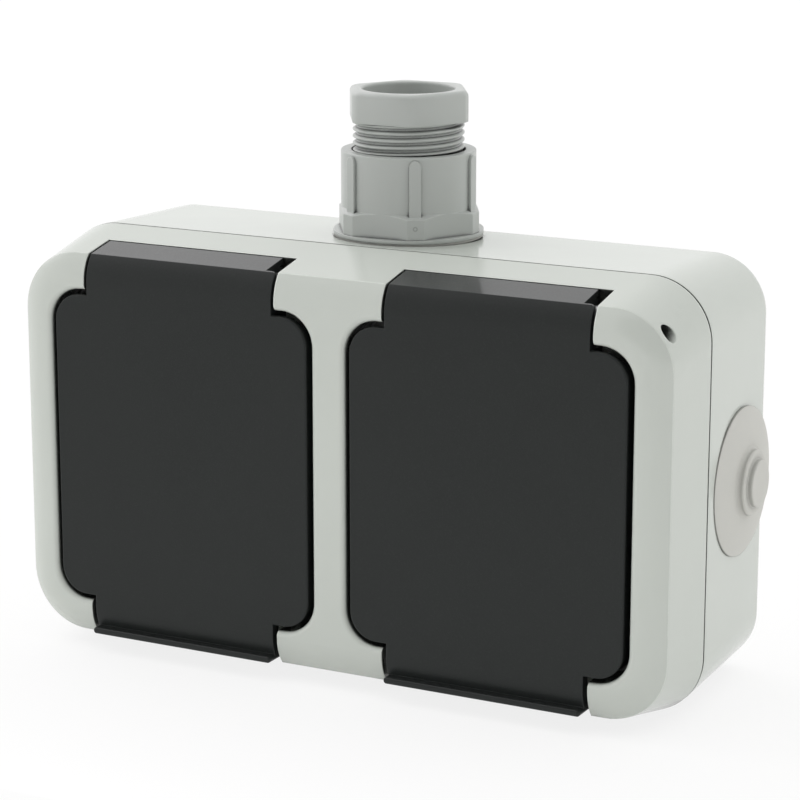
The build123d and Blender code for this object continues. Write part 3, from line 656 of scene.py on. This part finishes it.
class Bench:
    """Modelling steps that the pieces share."""

    @staticmethod
    def clear() -> None:
        """Deselects every object."""
        bpy.ops.object.select_all(action="DESELECT")

    @staticmethod
    def pick(piece: bpy.types.Object) -> None:
        """Selects one object alone and makes it the active one.

        Args:
            piece: The object.
        """
        Bench.clear()
        piece.select_set(True)
        bpy.context.view_layer.objects.active = piece

    @staticmethod
    def settle(piece: bpy.types.Object, name: str) -> bpy.types.Object:
        """Names a piece and puts its place, turn and scale in its mesh.

        Args:
            piece: The piece.
            name: Its name.

        Returns:
            The piece.
        """
        Bench.pick(piece)
        piece.name = name
        piece.data.name = name
        bpy.ops.object.transform_apply(location=True, rotation=True, scale=True)
        return piece

    @staticmethod
    def select_edges(piece: bpy.types.Object, wanted: EdgeTest) -> None:
        """Selects the edges whose two ends pass a test, and enters edit mode.

        Args:
            piece: The piece.
            wanted: A test of an edge's two ends.
        """
        Bench.pick(piece)
        bpy.ops.object.mode_set(mode="EDIT")
        bpy.ops.mesh.select_mode(type="EDGE")
        bpy.ops.mesh.select_all(action="DESELECT")
        bpy.ops.object.mode_set(mode="OBJECT")
        points = piece.data.vertices
        for edge in piece.data.edges:
            first, second = (points[index].co for index in edge.vertices)
            edge.select = wanted(first, second)
        bpy.ops.object.mode_set(mode="EDIT")

    @staticmethod
    def bevel(
        piece: bpy.types.Object,
        wanted: EdgeTest,
        size: float,
        segments: int,
        measured: BevelSize = BevelSize.BESIDE_EDGE,
    ) -> None:
        """Bevels the edges whose two ends pass a test.

        Args:
            piece: The piece.
            wanted: A test of an edge's two ends.
            size: The bevel's size, in metres.
            segments: How many faces it has across.
            measured: What the size is measured along.
        """
        Bench.select_edges(piece, wanted)
        bpy.ops.mesh.bevel(offset_type=measured.value, offset=size, segments=segments, affect="EDGES")
        bpy.ops.object.mode_set(mode="OBJECT")

    @staticmethod
    def combine(piece: bpy.types.Object, other: bpy.types.Object, joining: Joining) -> None:
        """Adds another piece to a piece or cuts it out, which uses the other one up.

        Args:
            piece: The piece that stays.
            other: The piece that is used up.
            joining: What becomes of the other piece.
        """
        Bench.pick(piece)
        step = piece.modifiers.new("combine", "BOOLEAN")
        step.operation = joining.value
        step.solver = "EXACT"
        step.object = other
        bpy.ops.object.modifier_apply(modifier=step.name)
        bpy.data.objects.remove(other)

    @staticmethod
    def smooth(piece: bpy.types.Object, angle: float = 35.0) -> None:
        """Shades a piece smooth, apart from edges sharper than an angle in degrees."""
        Bench.pick(piece)
        bpy.ops.object.shade_smooth_by_angle(angle=math.radians(angle))


@dataclass
class Housing:
    """The box on the wall and the frame in front of it."""

    shell: Tuple[str, ...] = ("back_box", "front_frame")
    seals: Tuple[str, ...] = ("frame_gasket",)
    screws: Tuple[str, ...] = ("frame_screws",)

    def dress(self, wardrobe: Wardrobe) -> None:
        """Puts the finishes on the housing's nodes.

        Args:
            wardrobe: The finishes' materials.
        """
        wardrobe.dress(self.shell, Finishes.HOUSING)
        wardrobe.dress(self.seals, Finishes.SEAL)
        wardrobe.dress(self.screws, Finishes.STEEL)


class Hand(Enum):
    """The two sides of the socket, as seen from the room."""

    LEFT = "left"
    RIGHT = "right"


@dataclass
class Lid:
    """One sprung lid with its gasket, pin and spring."""

    hand: Hand

    def dress(self, wardrobe: Wardrobe) -> None:
        """Puts the finishes on the lid's nodes.

        Args:
            wardrobe: The finishes' materials.
        """
        side = self.hand.value
        wardrobe.dress([f"lid_{side}"], Finishes.LID)
        wardrobe.dress([f"lid_gasket_{side}"], Finishes.SEAL)
        wardrobe.dress([f"hinge_pin_{side}", f"lid_spring_{side}"], Finishes.STEEL)


@dataclass
class Outlet:
    """One socket well with its contacts."""

    hand: Hand

    def dress(self, wardrobe: Wardrobe) -> None:
        """Puts the finishes on the outlet's nodes.

        Args:
            wardrobe: The finishes' materials.
        """
        side = self.hand.value
        wardrobe.dress([f"socket_pot_{side}", f"contact_carrier_{side}"], Finishes.INSERT)
        metal = [f"earth_strap_{side}", f"line_contact_{side}", f"neutral_contact_{side}"]
        wardrobe.dress(metal, Finishes.CONTACT)


@dataclass
class Wiring:
    """The strips that join the two outlets, and the screws that hold the inserts."""

    links: Tuple[str, ...] = ("earth_link", "line_link", "neutral_link")
    screws: Tuple[str, ...] = ("insert_screws", "centre_screws", "terminal_screws", "earth_screws")

    def dress(self, wardrobe: Wardrobe) -> None:
        """Puts the finishes on the strips and screws."""
        wardrobe.dress(self.links, Finishes.CONTACT)
        wardrobe.dress(self.screws, Finishes.STEEL)


@dataclass
class Gland:
    """The cable gland on top, with a screw whose thread is modelled."""

    plastic: Tuple[str, ...] = ("gland_body", "gland_washer", "gland_locknut", "gland_screw")
    grip: Tuple[str, ...] = ("gland_cable_seal",)
    ring: Tuple[str, ...] = ("gland_flange_seal",)
    axis: Tuple[float, float] = (-0.00125, -0.0164)
    head_sides: int = 6
    head_turn: float = 31.0
    head_low: float = 0.0696
    head_high: float = 0.07625
    head_flats: float = 0.0243
    head_corner: float = 0.01343
    corner_segments: int = 1
    top_round: float = 0.0012
    top_segments: int = 5
    foot_round: float = 0.0002
    foot_segments: int = 2
    bore: float = 0.0098
    bore_round: float = 0.0006
    bore_segments: int = 4
    bore_slack: float = 0.0002
    shank_low: float = 0.0585
    overlap: float = 0.001
    thread_root: float = 0.0111
    thread_crest: float = 0.01185
    thread_pitch: float = 0.0015
    thread_turns: int = 7
    thread_steps: int = 72
    thread_sink: float = 0.0003
    thread_foot: float = 0.94
    thread_land: float = 0.00035
    crest_round: float = 0.00012
    crest_segments: int = 2
    bar_sides: int = 128
    screw: Optional[bpy.types.Object] = field(default=None, init=False)

    def build(self) -> None:
        """Models the screw: hexagon head, hollow shank and thread."""
        head = self._head()
        shank = self._round_bar(self.thread_root, self.shank_low, self.head_low + self.overlap)
        Bench.combine(head, shank, Joining.ADDED)
        hollow = self._round_bar(self.bore, self.shank_low - self.overlap, self.head_high + self.overlap)
        Bench.combine(head, hollow, Joining.CUT_OUT)
        Bench.bevel(head, self._along_mouth, self.bore_round, self.bore_segments)
        thread = self._thread()
        Bench.pick(head)
        thread.select_set(True)
        bpy.ops.object.join()
        self.screw = Bench.settle(head, "gland_screw_threaded")
        Bench.smooth(self.screw)
        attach(self.screw, "gland_screw")
        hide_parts("gland_screw")

    def _in_mouth(self, point: Vector) -> bool:
        """Tells whether a point lies on the upper edge of the bore."""
        away = math.hypot(point.x - self.axis[0], point.y - self.axis[1])
        return abs(point.z - self.head_high) < HAIR and away < self.bore + self.bore_slack

    def _along_mouth(self, first: Vector, second: Vector) -> bool:
        """Tells whether an edge runs along the upper edge of the bore."""
        return self._in_mouth(first) and self._in_mouth(second)

    def _round_bar(self, radius: float, low: float, high: float) -> bpy.types.Object:
        """Adds an upright round bar on the gland's axis.

        Args:
            radius: Its radius.
            low: The height of its lower end.
            high: The height of its upper end.

        Returns:
            The bar.
        """
        Bench.clear()
        bpy.ops.mesh.primitive_cylinder_add(
            vertices=self.bar_sides,
            radius=radius,
            depth=high - low,
            location=(self.axis[0], self.axis[1], (low + high) / 2),
        )
        return Bench.settle(bpy.context.object, "bar")

    def _head(self) -> bpy.types.Object:
        """Models the hexagon with its cut corners and rounded edges.

        Returns:
            The head, still without its bore.
        """
        Bench.clear()
        height = self.head_high - self.head_low
        point = self.head_flats / math.sqrt(3.0)
        bpy.ops.mesh.primitive_cylinder_add(
            vertices=self.head_sides,
            radius=point,
            depth=height,
            location=(self.axis[0], self.axis[1], self.head_low + height / 2),
            rotation=(0.0, 0.0, math.radians(self.head_turn)),
        )
        head = Bench.settle(bpy.context.object, "head")
        # A cut across a corner of 120 degrees is this broad when it lies head_corner away from the axis.
        cut = 2.0 * math.sqrt(3.0) * (point - self.head_corner)
        half = height / 2
        top = self.head_high - HAIR
        foot = self.head_low + HAIR
        across = BevelSize.ACROSS_BEVEL
        Bench.bevel(head, lambda one, two: abs(one.z - two.z) > half, cut, self.corner_segments, across)
        Bench.bevel(head, lambda one, two: min(one.z, two.z) > top, self.top_round, self.top_segments)
        Bench.bevel(head, lambda one, two: max(one.z, two.z) < foot, self.foot_round, self.foot_segments)
        return head

    def _thread(self) -> bpy.types.Object:
        """Models the thread's ridge: a section with a rounded crest, wound along the shank.

        Returns:
            The ridge.
        """
        Bench.clear()
        start = (self.axis[0], self.axis[1], self.shank_low + self.thread_pitch / 2)
        inside = self.thread_root - self.thread_sink
        deep = self.thread_crest - inside
        middle = inside + deep / 2
        broad = self.thread_pitch * self.thread_foot
        bpy.ops.mesh.primitive_plane_add(size=1.0, location=start)
        ridge = bpy.context.object
        bpy.ops.object.mode_set(mode="EDIT")
        bpy.ops.mesh.select_all(action="SELECT")
        bpy.ops.transform.rotate(value=math.radians(UPRIGHT), orient_axis="X", center_override=start)
        bpy.ops.transform.resize(value=(deep, 1.0, broad), center_override=start)
        bpy.ops.transform.translate(value=(middle, 0.0, 0.0))
        bpy.ops.object.mode_set(mode="OBJECT")
        Bench.select_edges(ridge, lambda one, two: min(one.x, two.x) > middle)
        bpy.ops.transform.resize(value=(1.0, 1.0, self.thread_land / broad), center_override=start)
        bpy.ops.mesh.bevel(offset=self.crest_round, segments=self.crest_segments, affect="VERTICES")
        bpy.ops.mesh.select_mode(type="FACE")
        bpy.ops.mesh.select_all(action="SELECT")
        bpy.ops.mesh.delete(type="ONLY_FACE")
        bpy.ops.object.mode_set(mode="OBJECT")
        wind = ridge.modifiers.new("wind", "SCREW")
        wind.axis = "Z"
        wind.screw_offset = self.thread_pitch
        wind.iterations = self.thread_turns
        wind.steps = self.thread_steps
        wind.render_steps = self.thread_steps
        wind.use_normal_calculate = True
        bpy.ops.object.modifier_apply(modifier=wind.name)
        bpy.ops.object.mode_set(mode="EDIT")
        bpy.ops.mesh.select_all(action="SELECT")
        bpy.ops.mesh.fill_holes(sides=0)
        bpy.ops.mesh.normals_make_consistent(inside=False)
        bpy.ops.object.mode_set(mode="OBJECT")
        return Bench.settle(ridge, "thread")

    def dress(self, wardrobe: Wardrobe) -> None:
        """Puts the finishes on the gland's nodes and its screw.

        Args:
            wardrobe: The finishes' materials.
        """
        wardrobe.dress(self.plastic, Finishes.GLAND)
        wardrobe.dress(self.grip, Finishes.SEAL)
        wardrobe.dress(self.ring, Finishes.GROMMET)
        wardrobe.dress_piece(self.screw, Finishes.GLAND)


@dataclass
class SideEntry:
    """The blanking grommet in the side of the box."""

    nodes: Tuple[str, ...] = ("side_grommet",)

    def dress(self, wardrobe: Wardrobe) -> None:
        """Puts the finish on the grommet."""
        wardrobe.dress(self.nodes, Finishes.GROMMET)


@dataclass
class Studio:
    """The floor, the light and the camera."""

    floor_size: float = 12.0
    floor_gap: float = 0.0001
    floor_cloud: float = 0.25
    floor_shades: Tuple[Colour, Colour] = (tint(246, 246, 245), tint(250, 250, 249))
    floor_roughness: float = 0.9
    floor_gloss: float = 0.1
    floor_white: float = 0.83
    card_size: Tuple[float, float] = (1.7, 1.1)
    card_away: float = 1.0
    card_height: float = 0.65
    card_weave: float = 0.002
    card_shades: Tuple[Colour, Colour] = (tint(98, 98, 98), tint(106, 106, 106))
    card_roughness: float = 0.95
    world_level: float = 1.05
    sun_level: float = 0.8
    sun_breadth: float = 60.0
    sun_turn: Tuple[float, float] = (-11.0, -47.0)
    sun_colour: Triple = (1.0, 0.94, 0.99)
    fill_power: float = 0.011
    fill_place: Triple = (0.0, -0.135, -0.03)
    fill_size: Tuple[float, float] = (0.22, 0.03)
    fill_tilt: float = 100.0
    camera_place: Triple = (0.2703, -0.54414, 0.15357)
    camera_yaw: float = 27.405
    camera_pitch: float = 13.738
    camera_lens: float = 127.167
    camera_sensor: float = 36.0
    camera_near: float = 0.01

    def build(self) -> None:
        """Sets up the floor, the light and the camera."""
        self._floor()
        self._card()
        self._world()
        self._side_light()
        self._low_fill()
        self._camera()
        bpy.context.scene.view_settings.view_transform = "Standard"

    def _floor(self) -> None:
        """Lays a pale floor under the socket, which shows as nearly white and keeps the shadow."""
        Bench.clear()
        low = CAD_BOX[0][2] - self.floor_gap
        bpy.ops.mesh.primitive_plane_add(size=self.floor_size, location=(0.0, 0.0, low))
        floor = Bench.settle(bpy.context.object, "floor")
        material, graph = blank_material("floor")
        clouds = graph.noise(graph.place(), self.floor_cloud)
        sockets = {
            "Base Color": graph.blend(clouds, *self.floor_shades),
            "Roughness": self.floor_roughness,
            "Specular IOR Level": self.floor_gloss,
        }
        matte = graph.add("ShaderNodeBsdfPrincipled", None, sockets)
        white = graph.add("ShaderNodeEmission", None, {"Color": WHITE, "Strength": 1.0})
        share = graph.seen() * self.floor_white
        surface = graph.add("ShaderNodeMixShader", None, {0: share, 1: matte, 2: white})
        graph.add("ShaderNodeOutputMaterial", None, {"Surface": surface})
        floor.data.materials.append(material)

    def _card(self) -> None:
        """Stands a grey card behind the camera, which keeps the faces towards it from glaring."""
        Bench.clear()
        yaw = math.radians(self.camera_yaw)
        middle = (self.card_away * math.sin(yaw), -self.card_away * math.cos(yaw), self.card_height)
        turn = (math.radians(UPRIGHT), 0.0, yaw)
        bpy.ops.mesh.primitive_plane_add(size=1.0, location=middle, rotation=turn)
        card = bpy.context.object
        card.scale = (self.card_size[0], self.card_size[1], 1.0)
        Bench.settle(card, "card")
        material, graph = blank_material("card")
        weave = graph.noise(graph.place(), self.card_weave)
        sockets = {"Base Color": graph.blend(weave, *self.card_shades), "Roughness": self.card_roughness}
        matte = graph.add("ShaderNodeBsdfPrincipled", None, sockets)
        graph.add("ShaderNodeOutputMaterial", None, {"Surface": matte})
        card.data.materials.append(material)
        card.visible_camera = False

    def _world(self) -> None:
        """Fills the room with even light, and shows it as white."""
        world = bpy.data.worlds.new("room")
        world.use_nodes = True
        bpy.context.scene.world = world
        graph = Graph(world.node_tree)
        level = self.world_level + graph.seen() * (1.0 - self.world_level)
        light = graph.add("ShaderNodeBackground", None, {"Color": WHITE, "Strength": level})
        graph.add("ShaderNodeOutputWorld", None, {"Surface": light})

    def _side_light(self) -> None:
        """Hangs a broad soft light high on the left, a little to the back."""
        lamp = bpy.data.lights.new("side_light", "SUN")
        lamp.energy = self.sun_level
        lamp.color = self.sun_colour
        lamp.angle = math.radians(self.sun_breadth)
        side = bpy.data.objects.new("side_light", lamp)
        side.rotation_euler = (math.radians(self.sun_turn[0]), math.radians(self.sun_turn[1]), 0.0)
        bpy.context.scene.collection.objects.link(side)

    def _low_fill(self) -> None:
        """Stands a weak broad light low in front, which lifts the lower part of the front."""
        lamp = bpy.data.lights.new("low_fill", "AREA")
        lamp.shape = "RECTANGLE"
        lamp.size = self.fill_size[0]
        lamp.size_y = self.fill_size[1]
        lamp.energy = self.fill_power
        fill = bpy.data.objects.new("low_fill", lamp)
        fill.location = self.fill_place
        fill.rotation_euler = (math.radians(self.fill_tilt), 0.0, 0.0)
        fill.visible_camera = False
        fill.visible_glossy = False
        bpy.context.scene.collection.objects.link(fill)

    def _camera(self) -> None:
        """Puts the camera where the photograph was taken from."""
        lens = bpy.data.cameras.new("camera")
        lens.sensor_width = self.camera_sensor
        lens.lens = self.camera_lens
        lens.clip_start = self.camera_near
        camera = bpy.data.objects.new("camera", lens)
        camera.location = self.camera_place
        tilt = math.radians(UPRIGHT - self.camera_pitch)
        camera.rotation_euler = (tilt, 0.0, math.radians(self.camera_yaw))
        bpy.context.scene.collection.objects.link(camera)
        bpy.context.scene.camera = camera


def main() -> None:
    """Builds and dresses the socket's sub-assemblies, then the studio."""
    logging.basicConfig(level=logging.INFO, format="%(name)s: %(message)s")
    wardrobe = Wardrobe()
    gland = Gland()
    gland.build()
    gland.dress(wardrobe)
    Housing().dress(wardrobe)
    for hand in Hand:
        Lid(hand).dress(wardrobe)
        Outlet(hand).dress(wardrobe)
    Wiring().dress(wardrobe)
    SideEntry().dress(wardrobe)
    Studio().build()


if __name__ == "__main__":
    main()
